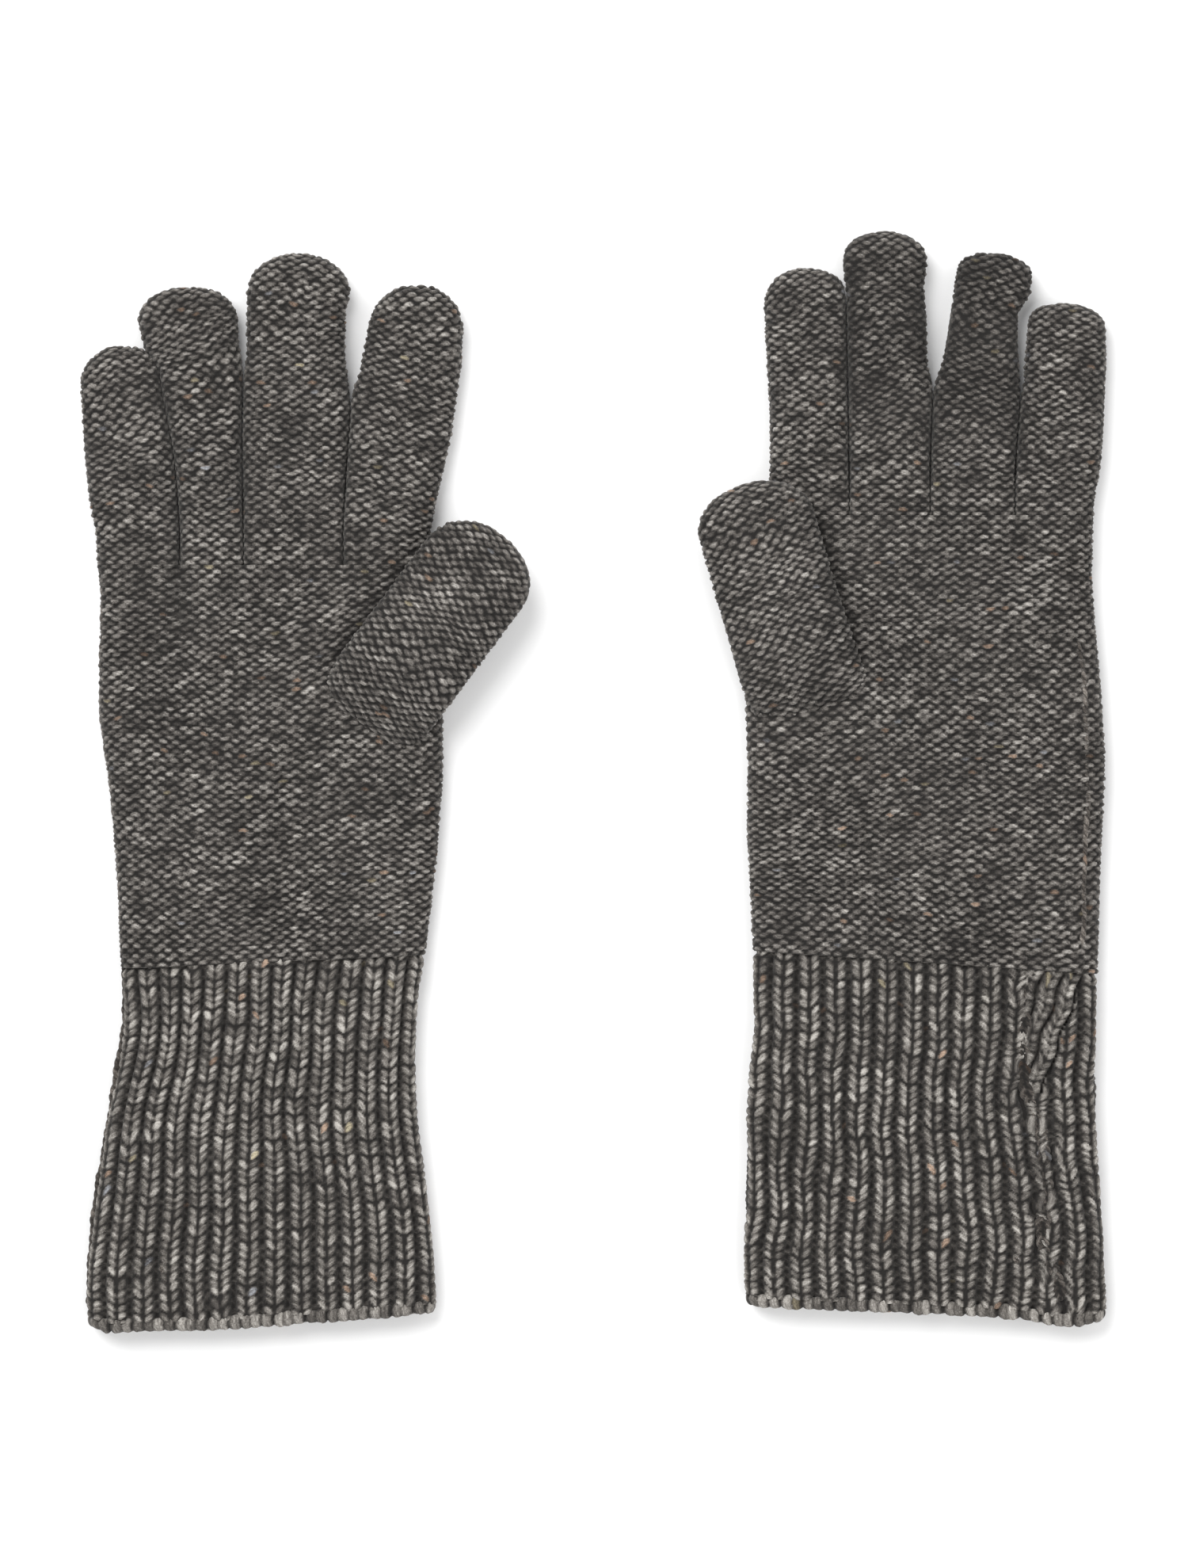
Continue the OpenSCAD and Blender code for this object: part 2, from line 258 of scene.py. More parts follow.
def half_ring(xl, xr, z_mid, height, p_left, p_right, n):
    """n points evenly along the upper or lower half of a flattened tube, from its left side to its right side, with
    each point's signed distance along the fabric from the middle."""
    t = np.sin(np.linspace(-1, 1, 181) * math.pi / 2)
    p = np.where(t < 0, p_left, p_right)
    z = np.sqrt(np.maximum(0, 1 - np.abs(t) ** p))
    x = (xl + xr) / 2 + (xr - xl) / 2 * t
    z = height * z
    d = np.concatenate([[0], np.cumsum(np.hypot(np.diff(x), np.diff(z)))])
    at = np.linspace(0, d[-1], n)
    return np.interp(at, d, x), z_mid + np.interp(at, d, z), at - np.interp(0, t, d)


def station(y, xl, xr, sides, tilt=0.0, z=MID, up=MID, down=MID):
    """One ring of a tube: its place, its left and right edges, how square its two sides are, how far it slants, its
    middle height and its reach above and below that."""
    return {"y": y, "xl": xl, "xr": xr, "z": z, "up": up, "down": down, "pl": sides[0], "pr": sides[1], "tilt": tilt}


def run_along(points):
    """Distance along a line of points."""
    return np.concatenate([[0], np.cumsum(np.linalg.norm(np.diff(points, axis=0), axis=1))])


def end_places(tip_y, length):
    """Places over the rounded end of a finger, closer together towards its tip."""
    turn = np.linspace(0, 1, int(length * 1.35 / FINE_STEP))[1:] * math.radians(87.5)
    return tip_y - length * (1 - np.sin(turn))


def rounded_end(d, length, square=2, least=0.05):
    """A finger's share of its full width or height at distance d from its end."""
    t = np.clip(d / length, 0, 1)
    return np.maximum(np.sqrt(1 - (1 - t) ** square), least)


def tube(stations, n_top, n_bottom):
    """Base surface over rings, and each point's signed distance along its ring from the middle of its face."""
    n = n_top + n_bottom - 2
    p = np.zeros((len(stations), n, 3))
    s = np.zeros((len(stations), n))
    for i, q in enumerate(stations):
        x, z, a = half_ring(q["xl"], q["xr"], q["z"], q["up"], q["pl"], q["pr"], n_top)
        xb, zb, ab = half_ring(q["xl"], q["xr"], q["z"], -q["down"], q["pl"] * 1.25, q["pr"] * 1.25, n_bottom)
        ab = np.where(ab < 0, ab * a[0] / min(ab[0], -1e-9), ab * a[-1] / max(ab[-1], 1e-9))
        x, z, a = (np.concatenate([t, b[-2:0:-1]]) for t, b in ((x, xb), (z, zb), (a, ab)))
        mid = (q["xl"] + q["xr"]) / 2
        p[i] = np.stack([x, q["y"] + q["tilt"] * (x - mid), z], axis=1)
        s[i] = a
    return p, s


def normals(p):
    along = np.gradient(p, axis=0)
    round_it = np.roll(p, -1, axis=1) - np.roll(p, 1, axis=1)
    n = np.cross(round_it, along)
    return n / np.maximum(np.linalg.norm(n, axis=2, keepdims=True), 1e-9)


def grid_uv(rows, cols, low, high, flip=False):
    """Where grid_faces and band put each quad's corners on the unwrapped fabric."""
    i = np.arange(rows - 1)[:, None] + np.zeros((1, cols))
    j = np.arange(cols)[None, :] + np.zeros((rows - 1, 1))
    v = low + (high - low) * np.stack([i, i, i + 1, i + 1], axis=-1) / (rows - 1)
    uv = np.stack([np.stack([j, j + 1, j + 1, j], axis=-1) / cols, v], axis=-1).reshape(-1, 4, 2)
    return uv[:, [0, 3, 2, 1]] if flip else uv


def fan_uv(cols, low, high, flip=False):
    j = np.arange(cols)
    uv = np.stack([np.stack([j, j + 1, j + 0.5], axis=1) / cols, np.array([[low, low, high]] * cols)], axis=-1)
    return uv[:, ::-1] if flip else uv


def yarn_values(s, pad=0, who=0.3, tone=0.0, lump=0.5, shade=0.0):
    """The values that the yarn's material reads at each point. The points past the stitched ones, as many as pad
    says, get the plain values given here."""

    def full(value, plain):
        return np.concatenate([value.ravel(), np.full(pad, plain, float)]) if pad else value.ravel()

    shaded = s["shade"] if "shade" in s else np.zeros(s["h"].shape)
    return {
        "yarn": np.stack([full(s["along"], 0), full(s["across"], 0), full(s["who"], who)], axis=1),
        "tone": full(s["tone"], tone),
        "lump": full(np.clip(s["h"] / 0.9, 0, 1), lump),
        "shade": full(shaded, shade),
    }


def add_mesh(name, points, faces, values, uv, material, flat_quads=0):
    me = bpy.data.meshes.new(name)
    quads, tris = faces
    me.vertices.add(len(points))
    me.vertices.foreach_set("co", (points * MM).astype(np.float32).ravel())
    loops = np.concatenate([quads.ravel(), tris.ravel()]).astype(np.int32)
    me.loops.add(len(loops))
    me.loops.foreach_set("vertex_index", loops)
    starts = np.concatenate([np.arange(len(quads)) * 4, len(quads) * 4 + np.arange(len(tris)) * 3])
    me.polygons.add(len(starts))
    me.polygons.foreach_set("loop_start", starts.astype(np.int32))
    me.update(calc_edges=True)
    layer = me.uv_layers.new(name="OFBake")
    layer.data.foreach_set("uv", np.concatenate([part.reshape(-1, 2) for part in uv]).astype(np.float32).ravel())
    rounded = np.ones(len(me.polygons), bool)
    rounded[len(quads) - flat_quads : len(quads)] = False
    me.polygons.foreach_set("use_smooth", rounded)
    for key, value in values.items():
        kind, field = ("FLOAT_VECTOR", "vector") if value.ndim == 2 else ("FLOAT", "value")
        me.attributes.new(key, kind, "POINT").data.foreach_set(field, value.astype(np.float32).ravel())
    me.materials.append(material)
    o = bpy.data.objects.new(name, me)
    bpy.context.scene.collection.objects.link(o)
    return o


def grid_faces(rows, cols, first=0, flip=False):
    i = np.arange(rows - 1)[:, None] * cols
    j = np.arange(cols)[None, :]
    k = (j + 1) % cols
    a, b, c, d = (first + x for x in (i + j, i + k, i + cols + k, i + cols + j))
    q = np.stack([a, b, c, d] if not flip else [a, d, c, b], axis=-1)
    return q.reshape(-1, 4)


def band(a, b, flip=False):
    """Quads that join two rings of the same number of points."""
    a2, b2 = np.roll(a, -1), np.roll(b, -1)
    q = np.stack([a, a2, b2, b], axis=1)
    return q[:, ::-1] if flip else q


def fan(ring, centre, flip=False):
    t = np.stack([ring, np.roll(ring, -1), np.full(len(ring), centre)], axis=1)
    return t[:, ::-1] if flip else t


def knit(name, base, ground, s, relief, material, close_low=False, close_high=False):
    """A closed shell of knitting one layer thick: the stitched outer surface, a plain inner surface and the rims that
    join them."""
    n = normals(base)
    lift = s["h"] * relief + ground - INSET
    outer = base + n * lift[..., None]
    rows, cols, _ = base.shape
    if not close_high:
        ahead = base[-1] - base[-2]
        lip = outer[-1] + LIP * ahead / np.linalg.norm(ahead, axis=1, keepdims=True) - LIP_SINK * n[-1]
        outer = np.concatenate([outer, lip[None]])
        s = {key: np.concatenate([value, value[-1:]]) for key, value in s.items()}
    picks = np.unique(np.round(np.linspace(0, rows - 1, max(3, rows // 10))).astype(int))
    half = (base[:, :, 2].max(axis=1) - base[:, :, 2].min(axis=1))[picks] / 2
    depth = np.minimum(FABRIC, half * 0.7)[:, None, None]
    middle = base[picks].mean(axis=1, keepdims=True)
    inner = base[picks] - n[picks] * depth
    if close_high or close_low:
        pull = np.linspace(0, 1, len(picks))
        pull = np.where(close_high, pull, 0) ** 6 + np.where(close_low, 1 - pull, 0) ** 6
        inner = inner + (middle - inner) * 0.15 * pull[:, None, None]
        inner[:, :, 1] -= np.where(close_high, 1, 0) * FABRIC * pull[:, None]
    rows = len(outer)
    points = [outer.reshape(-1, 3), inner.reshape(-1, 3)]
    n_out, n_in = rows * cols, len(picks) * cols
    quads = [grid_faces(rows, cols), grid_faces(len(picks), cols, first=n_out, flip=True)]
    uv = [grid_uv(rows, cols, 0, 0.84), grid_uv(len(picks), cols, 0.85, 0.92, flip=True)]
    tris, tri_uv, extra = [], [], []
    ring = np.arange(cols)
    low_out, high_out = ring, n_out - cols + ring
    low_in, high_in = n_out + ring, n_out + n_in - cols + ring
    for closed, out, inside, end, facing in (
        (close_low, low_out, low_in, 0, True),
        (close_high, high_out, high_in, -1, False),
    ):
        at = 0.93 if end == 0 else 0.965
        if closed:
            k = n_out + n_in + len(extra)
            extra += [outer[end].mean(axis=0), inner[end].mean(axis=0)]
            tris += [fan(out, k, flip=facing), fan(inside, k + 1, flip=not facing)]
            tri_uv += [fan_uv(cols, at, at + 0.015, facing), fan_uv(cols, at + 0.017, at + 0.032, not facing)]
        else:
            quads.append(band(out, inside, flip=facing))
            strip = grid_uv(2, cols, at, at + 0.03)
            uv.append(strip[:, ::-1] if facing else strip)
    if extra:
        points.append(np.array(extra))
    points = np.concatenate(points)
    # painted shade on the inner surface and the rims: a darker tone, a low lump value and half shade
    values = yarn_values(s, len(points) - n_out, tone=-0.4, lump=0.3, shade=0.5)
    faces = np.concatenate(quads), np.concatenate(tris) if tris else np.zeros((0, 3), int)
    return add_mesh(name, points, faces, values, uv + tri_uv, material, cols * (len(quads) - 2))


# ---- Materials ----


def yarn_material(name, tint, lift):
    """Marled wool: a dark and a light strand twisted together, with loose fibres along the yarn and rare coloured
    flecks. Light and shade are painted in as well: lighter on the stitches' tops, darker between them and where the
    shade attribute says."""
    m = bpy.data.materials.new(name)
    m.use_nodes = True
    nt = m.node_tree
    nt.nodes.clear()

    def new(kind, **settings):
        k = nt.nodes.new("ShaderNode" + kind)
        for key, value in settings.items():
            setattr(k, key, value)
        return k

    def feed(k, inputs):
        """Link or set a node's inputs."""
        for key, value in inputs.items():
            if hasattr(value, "is_output"):
                nt.links.new(value, k.inputs[key])
            else:
                k.inputs[key].default_value = value
        return k

    def maths(op, a, b=None, c=None, clamp=False):
        inputs = {i: value for i, value in enumerate((a, b, c)) if value is not None}
        return feed(new("Math", operation=op, use_clamp=clamp), inputs).outputs[0]

    def attribute(key, out):
        return new("Attribute", attribute_name=key).outputs[out]

    def ramp(value, stops, mode="LINEAR"):
        k = feed(new("ValToRGB"), {0: value})
        k.color_ramp.interpolation = mode
        el = k.color_ramp.elements
        while len(el) < len(stops):
            el.new(0.5)
        for e, (at, colour) in zip(el, stops):
            e.position = at
            e.color = (*colour, 1)
        return k.outputs[0]

    def vector(*values):
        return feed(new("CombineXYZ"), dict(enumerate(values))).outputs[0]

    def noise(where, scale, detail, **more):
        return feed(new("TexNoise"), {"Vector": where, "Scale": scale, "Detail": detail, **more}).outputs[0]

    def mix(mode, factor, a, b):
        k = new("Mix", data_type="RGBA", blend_type=mode)
        return feed(k, {0: factor, 6: a, 7: b}).outputs[2]

    yarn = attribute("yarn", "Vector")
    along, across, who = feed(new("SeparateXYZ"), {0: yarn}).outputs
    tone = attribute("tone", "Fac")
    lump = attribute("lump", "Fac")
    shade = attribute("shade", "Fac")
    place = new("TexCoord").outputs["Object"]

    # the yarn's two strands wind across each stitch, and its fibres run along it
    wound = maths("MULTIPLY_ADD", along, 0.55, maths("MULTIPLY", across, 1.7))
    strand = vector(maths("MULTIPLY", along, 0.7), wound, maths("MULTIPLY", who, 61.0))
    hairs = vector(maths("MULTIPLY", along, 2.6), maths("MULTIPLY", across, 9.0), maths("MULTIPLY", who, 17.0))
    streak = noise(strand, 1.0, 3.0, Roughness=0.6)
    fibre = noise(hairs, 1.0, 2.0)
    felt = noise(place, 2600.0, 2.0)
    patch = noise(place, 75.0, 2.0)

    t = maths("MULTIPLY_ADD", tone, 0.27, 0.47)
    t = maths("ADD", t, maths("MULTIPLY_ADD", streak, 0.85, -0.425))
    t = maths("ADD", t, maths("MULTIPLY_ADD", fibre, 0.5, -0.25))
    t = maths("ADD", t, maths("MULTIPLY_ADD", felt, 0.34, -0.17))
    t = maths("ADD", t, maths("MULTIPLY_ADD", patch, 0.16, -0.08 + lift))
    # painted highlight and shade: the tops of the stitches are painted lighter and their low edges darker
    t = maths("ADD", t, maths("MULTIPLY", maths("SUBTRACT", lump, 0.74), 0.6), clamp=True)
    base = ramp(
        t,
        [
            (0.0, (0.011, 0.0101, 0.0095)),
            (0.26, (0.032, 0.0288, 0.0264)),
            (0.5, (0.088, 0.0798, 0.0725)),
            (0.72, (0.205, 0.190, 0.174)),
            (1.0, (0.47, 0.447, 0.415)),
        ],
    )
    # a few stitches in a thousand are flecked
    fleck = ramp(
        who,
        [
            (0.0, tint),
            (0.978, (1.12, 0.86, 0.7)),
            (0.989, (1.05, 0.72, 0.66)),
            (0.992, (0.86, 0.93, 1.06)),
            (0.996, (1.12, 1.05, 0.8)),
        ],
        "CONSTANT",
    )
    # painted shade: the colour is mixed towards near-black between the stitches, where lump is low, and wherever the
    # shade attribute paints shade
    gap = maths("MULTIPLY_ADD", maths("SUBTRACT", 1.0, lump), 0.62, shade, clamp=True)
    colour = mix("MIX", gap, mix("MULTIPLY", 1.0, base, fleck), (0.0125, 0.0112, 0.0105, 1))
    height = maths("ADD", maths("MULTIPLY", fibre, 0.8), maths("MULTIPLY", felt, 0.7))
    bump = feed(new("Bump"), {"Strength": 0.5, "Distance": 0.0003, "Height": height})
    shader = feed(
        new("BsdfPrincipled"),
        {
            "Base Color": colour,
            "Roughness": maths("MULTIPLY_ADD", fibre, 0.12, 0.84),
            "Normal": bump.outputs[0],
            "Specular IOR Level": 0.25,
            "Sheen Weight": 0.22,
            "Sheen Roughness": 0.45,
            "Sheen Tint": (0.75, 0.73, 0.7, 1),
        },
    )
    feed(new("OutputMaterial"), {0: shader.outputs[0]})
    return m


HAND = yarn_material("hand_wool", (1.0, 1.0, 1.0), 0.0)
CUFF = yarn_material("cuff_wool", (1.0, 1.0, 0.99), 0.075)
SEAM = yarn_material("seam_wool", (0.94, 0.9, 0.87), -0.07)


# ---- Gloves ----

# Where each glove's finger creases run down into its palm: x and y of the low end, x and y of the high end, depth and
# width
CREASES = {
    "right": [
        (-117.8, 30, -116.2, 66, 1.9, 1.5),
        (-97.8, 52, -98.4, 66, 0.6, 1.3),
        (-71, 56, -70.4, 66, 0.3, 1.3),
        (-121, -8, -118.2, 34, 0.7, 3.6),
    ],
    "left": [(94.8, 68, 94.6, 80, 0.3, 1.5), (118.2, 66, 118.2, 80, 0.4, 1.6)],
}
# How far each glove's own edges stand off the frame's, which are smoother: y, and the sideways move there
TRIM = {
    "right": {"left": ((40, 55, 62), (0, 0.5, 0)), "right": ((-75, -60, -48, 50, 66), (-0.6, -1.2, 0, 0, -2.2))},
    "left": {
        "left": ((-100, -84, -70, -30, -15, 5, 24), (0, -0.7, 0, -0.5, -0.9, 0, -1.0)),
        "right": ((50, 60, 70), (0, -0.6, -0.2)),
    },
}
# The hem's sag: x, and how far it lies above or below its straight line
SAG = {
    "right": ((-144, -141, -137, -120, -107, -90, -57, -46), (4.5, 2.2, 0.2, -0.3, -0.9, -0.7, -0.3, 0.2)),
    "left": ((43, 47, 89, 105, 120, 126, 131, 136, 141, 144), (2.6, 1.6, 1.3, 1.0, 0.6, -0.6, -1.2, -0.9, 0.3, 2.0)),
}
# Between neighbouring fingers, from the left: where the crease between them starts, and up to where they touch
GAPS = {"right": ((60, 119), (72, 117), (77, 109)), "left": ((82, 138), (84, 113), (83, 108))}
# A lighter loose loop of yarn at the lower end of the thumb's crease: x, y and how light
NOTCH = {"right": (-79.4, 26.6, 1.5), "left": (79, 24.5, 0.8)}
WRIST_SLOPE = {"right": 0.044, "left": -0.067}
HEM_SLOPE = {"right": 0.06, "left": -0.03}
SEED = {"right": 11, "left": 47}
# The left glove's seams lie on its palm side: y and x
LEFT_CUFF_SEAM = ((-152, -142, -130, -112, -96, -84, -70, -57), (131.5, 130.6, 126, 127.4, 124.6, 121, 120.2, 121))
LEFT_HAND_SEAM = ((-43, -20, 5, 25, 50, 72), (136.8, 137.6, 138.6, 137.6, 135.2, 135))


def felted(x, y, seed):
    """How much the stitches are felted flat, from 0 to 1, in patches."""
    return smooth(0.45 + 0.75 * wave(x, y, 34, seed))


def side_power(half, width=3.3):
    return max(2.6, half / width)


class Glove:
    def __init__(self, side):
        self.side = side
        self.seed = SEED[side]
        self.wrist = joint_at(f"{side}_wrist")
        self.root_y = joint_at(f"{side}_middle_root_fold")[1]
        self.knuckle_y = joint_at(f"{side}_middle_knuckle")[1]
        self.top_y = self.root_y - FOLD
        step = 1.0
        self.ys = np.arange(self.wrist[1] - 95.0, self.root_y - 0.9, step)
        left, right = np.zeros(len(self.ys)), np.zeros(len(self.ys))
        upper = self.ys > self.wrist[1] + 6
        lower = self.ys < self.wrist[1] - 6
        left[upper], right[upper] = edges_at(f"{side}_hand", self.ys[upper])
        left[lower], right[lower] = edges_at(f"{side}_cuff", self.ys[lower])
        between = ~(upper | lower)
        for e in (left, right):
            e[between] = np.interp(self.ys[between], self.ys[~between], e[~between])
        self.left = soft(left, 4.0, step) + np.interp(self.ys, *TRIM[side]["left"])
        self.right = soft(right, 4.0, step) + np.interp(self.ys, *TRIM[side]["right"])

    def thumb_axes(self):
        """The thumb's root and knuckle, the direction along it, and the direction across it."""
        at = joint_at(f"{self.side}_thumb_swing")[:2]
        knuckle = joint_at(f"{self.side}_thumb_knuckle")[:2]
        d = (knuckle - at) / np.linalg.norm(knuckle - at)
        return at, knuckle, d, np.array([d[1], -d[0]])

    def by_thumb(self, x, y):
        """How near a place on the palm is to the outline of the thumb that lies on it, from 0 to 1."""
        at, _, d, e = self.thumb_axes()
        across, along = (x - at[0]) * e[0] + (y - at[1]) * e[1], (x - at[0]) * d[0] + (y - at[1]) * d[1]
        off = np.hypot(np.maximum(np.abs(across) - 16, 0), np.maximum(-8 - along, 0))
        return bell(off, 2.4) * smooth((along + 9) / 16)

    def edge(self, y):
        """Left and right edge of the glove at y, carried on in a straight line below its lowest place."""
        lx = np.interp(y, self.ys, self.left)
        rx = np.interp(y, self.ys, self.right)
        low = y < self.ys[0]
        slope_l = (self.left[8] - self.left[0]) / 8
        slope_r = (self.right[8] - self.right[0]) / 8
        lx = np.where(low, self.left[0] + slope_l * (y - self.ys[0]), lx)
        rx = np.where(low, self.right[0] + slope_r * (y - self.ys[0]), rx)
        return lx, rx

    def v_at(self, y):
        """Lines of lumps counted up from the wrist."""
        return (y - self.wrist[1]) / ROW

    def warp(self, x, y):
        """The palm's rows rise and fall gently."""
        du = 0.18 * wave(x, y, 46, self.seed + 21) + 0.05 * wave(x, y, 11, self.seed + 22)
        dv = 1.1 * wave(x, y, 70, self.seed + 23) + 0.22 * wave(x, y, 13, self.seed + 24)
        if self.side == "right":
            near = hill(x, y, -70, 42, 26, 30)
            dv = dv - 0.16 * near * (x + 70)
        return du, dv

    def swell(self, x, y):
        """The palm's gentle swells, which run on into the fingers."""
        return 0.45 * wave(x, y, 38, self.seed + 1) + 0.18 * wave(x, y, 15, self.seed + 2)

    def creases(self, x, y):
        """How far along each crease each place is, how far to its side, and the crease's depth, width and top."""
        for ax, ay, bx, by, depth, width in CREASES[self.side]:
            t = np.clip((y - ay) / (by - ay), 0, 1)
            yield t, x - ax - (bx - ax) * t, depth, width, by

    def flat_tube(self, ys, slants, n_top):
        """A tube that lies flat between the glove's edges."""
        stations = []
        for y, slant in zip(ys, slants):
            xl, xr = self.edge(y)
            stations.append(station(y, float(xl), float(xr), [side_power((xr - xl) / 2)] * 2, slant))
        return tube(stations, n_top, int(n_top * 0.62))

    def hand(self):
        side = self.side
        y0, y1 = self.wrist[1] - 0.7, self.top_y
        ys = np.linspace(y0, y1, int(round((y1 - y0) / ROW_STEP)))
        base, s = self.flat_tube(ys, WRIST_SLOPE[side] * (1 - smooth((ys - y0) / 45)), HAND_POINTS)
        x, y, z = (base[..., i].copy() for i in range(3))
        top = smooth((z - 5.6) / 4)
        lift = self.swell(x, y)
        for t, off, depth, width, top_y in self.creases(x, y):
            lift = lift - depth * smooth(t * 1.15) * np.exp(-0.5 * (off / width) ** 2) * smooth(1 - (y - top_y) / 60)
        base[..., 2] += lift * top
        yc = ys[:, None] + 0 * s
        mid = (self.edge(yc)[0] + self.edge(yc)[1]) / 2
        u = (mid + s) / WALE
        v = self.v_at(yc)
        du, dv = self.warp(x, y)
        fade = smooth((y1 - yc) / 18)  # the warp fades out where the fingers start
        u, v = u + du * fade, v + dv * fade * smooth((yc - y0) / 20)
        st = purl(u, v, self.seed)
        f = felted(x, y, self.seed + 7) * 0.4
        relief = 0.95 * (1 - f)
        st["tone"] = st["tone"] * (1 - 0.5 * f) + 0.1 * wave(x, y, 27, self.seed + 9)
        roll = smooth(1 - (yc - y0) / 0.8)
        by_thumb = self.by_thumb(x, y) * top
        # painted shade: the palm is darkened along the finger creases and round the outline of the thumb that lies on
        # it
        crease_shade = np.zeros(s.shape)
        for t, off, depth, width, _ in self.creases(x, y):
            crease_shade += 0.2 * depth * smooth(t * 1.2) * np.exp(-0.5 * (off / (width + 0.8)) ** 2)
        st["shade"] = np.clip(0.6 * by_thumb + crease_shade * top, 0, 0.75)
        st["tone"] += NOTCH[side][2] * np.exp(-((x - NOTCH[side][0]) ** 2 + (y - NOTCH[side][1]) ** 2) / 2.6) * top
        ground = 0.45 * f - 0.3 * roll - 0.5 * by_thumb
        o = knit(f"{side}_hand_knit", base, ground, st, relief, HAND)
        self.join_wrist(o)
        self.stands_for(o, "hand")

    def join_wrist(self, o):
        """Bake a piece's placement into its mesh."""
        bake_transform(o)

    def stands_for(self, o, node):
        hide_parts(f"{self.side}_{node}")

    def cuff(self):
        side = self.side
        y0, y1 = self.hem_y - 0.3, self.wrist[1] - 0.2
        ys = np.linspace(y0, y1, int(round((y1 - y0) / ROW_STEP)))
        up = (ys - y0) / (y1 - y0)
        base, s = self.flat_tube(ys, HEM_SLOPE[side] * (1 - up) + WRIST_SLOPE[side] * up, CUFF_POINTS)
        x, y = base[..., 0].copy(), base[..., 1].copy()
        yc = ys[:, None] + 0 * s
        base[..., 1] += np.interp(x, *SAG[side]) * smooth(1 - (yc - y0) / 16)
        reach = s.max(axis=1, keepdims=True)
        pitch = 2 * reach / RIBS
        u = s / reach * RIBS / 2 + 0.5
        bend = 0.14 * wave(x, y, 60, self.seed + 31) + 0.07 * wave(x, y, 22, self.seed + 33)
        v = (yc - y1) / RIB_ROW + 0.35 * wave(x, y, 40, self.seed + 32) + 0.3 * wave(x, y, 12, self.seed + 34)
        u = u + bend * smooth((y1 - yc) / 20)
        ground = np.zeros(s.shape)
        shade = np.zeros(s.shape)
        tight = np.zeros(s.shape)
        ribs_apart = pitch + 0 * s
        if side == "left":
            # the seam has drawn a wedge of ribs askew above a small hole, and the ribs below run into the seam
            is_top = (base[..., 2] > 5.0) * 1.0
            d = x - self.seam_x(yc)
            above = smooth((yc + 86) / 2)
            slant = 125.5 + 0.35 * (yc + 85) + 0.5 * wave(yc, yc * 0, 9, 3)
            wedge = (d > 0) & (x < slant) & (above > 0.5) & (is_top > 0)
            u = np.where(wedge, (x - slant) / 5.6 + 0.5, u)
            v = np.where(wedge, v + 0.22 * (x - slant), v)
            ribs_apart = np.where(wedge, 5.4, ribs_apart)
            near = bell(d, 6) * is_top
            v = v + near * 0.7 * wave(x, yc, 8, 77)
            u = u + np.where(wedge, 0, near * 0.12 * wave(x, yc, 9, 78))
            hole = hill(x, yc, 120.5, -84.5, 1.9, 2.4) * is_top
            edge_pit = bell(x - slant, 0.8) * above * is_top * (d > -1)
            side_pit = bell(np.abs(d) - 2.1, 0.7) * is_top
            ground = ground - 1.6 * hole - 0.5 * edge_pit - 0.5 * side_pit - 0.8 * bell(d, 1.9) * is_top
            # painted shade in the hole and in the pits beside the seam
            shade = shade + 0.7 * hole + 0.25 * edge_pit + 0.2 * side_pit
            tight = near * 0.15
        st = rib(u, v, self.seed + 60, ribs_apart)
        ground = ground - 1.45 * st["groove"] + 0.4 * st["crown"]
        f = felted(x, y, self.seed + 37) * 0.3 + tight
        relief = 0.85 * (1 - f) * (1 - 0.4 * st["groove"])
        # painted shade in the grooves between the ribs
        st["shade"] = np.clip(shade + 0.2 * st["groove"], 0, 0.9)
        st["tone"] = st["tone"] + 0.1 * wave(x, y, 30, self.seed + 39)
        top_row = smooth((yc - y1 + 2.2) / 1.5)
        ground = ground * (1 - top_row) - 0.75 * top_row
        o = knit(f"{side}_cuff_knit", base, ground, st, relief, CUFF)
        self.join_wrist(o)
        self.stands_for(o, "cuff")

    def seam_x(self, y):
        """Where the left cuff's seam runs."""
        return np.interp(y, *LEFT_CUFF_SEAM)

    def hem(self):
        """The cast-on edge: a plump rim that turns from the outer side of the fabric to its inner side."""
        side = self.side
        y_mid = self.hem_y - 1.0
        xl, xr = self.edge(np.array(self.hem_y - 0.5))
        xl, xr = float(xl) + 0.5, float(xr) - 0.5
        n_round, n_cross, lump = 520, 26, 3.05
        rings = [station(y, xl, xr, (14.0, 14.0), HEM_SLOPE[side]) for y in (y_mid, y_mid + 0.5)]
        base, _ = tube(rings, n_round // 2 + 1, n_round // 2 + 1)
        n = normals(base)[0]
        p = base[0] - n * 1.0
        d = np.linalg.norm(np.roll(p, -1, axis=0) - p, axis=1)
        arc = np.concatenate([[0], np.cumsum(d)[:-1]])
        total = d.sum()
        lumps = round(total / lump)
        phi = np.linspace(0, 2 * math.pi, n_cross, endpoint=False)
        u = (arc / total * lumps)[None, :] + 0 * phi[:, None]
        v = phi[:, None] / (2 * math.pi) + 0 * u
        slanted = u + 0.3 * np.abs(2 * v - 1)
        c0 = np.floor(slanted).astype(np.int64)
        st = blank(u)
        for dc in (0, 1):
            c = (c0 + dc) % lumps
            x = (slanted - c0 - dc - 0.3 * (rnd(c, c * 0 + 6, self.seed + 76) - 0.5)) * lump
            q = 1 - (x / (1.6 + 0.3 * (rnd(c, c * 0, self.seed + 71) - 0.5))) ** 2
            tone = 1.3 * (rnd(c, c * 0 + 2, self.seed + 72) - 0.65)
            raise_lump(st, dome(q), v * 7, x, rnd(c, c * 0 + 4, self.seed + 73), tone)
        wob = 1 + 0.1 * wave(p[:, 0], p[:, 1] + p[:, 2] * 3, 9, self.seed + 74)[None, :]
        big = 0.8 + 0.4 * rnd(c0, c0 * 0 + 8, self.seed + 75)
        r_y = (1.25 + 0.75 * st["h"] * big) * wob
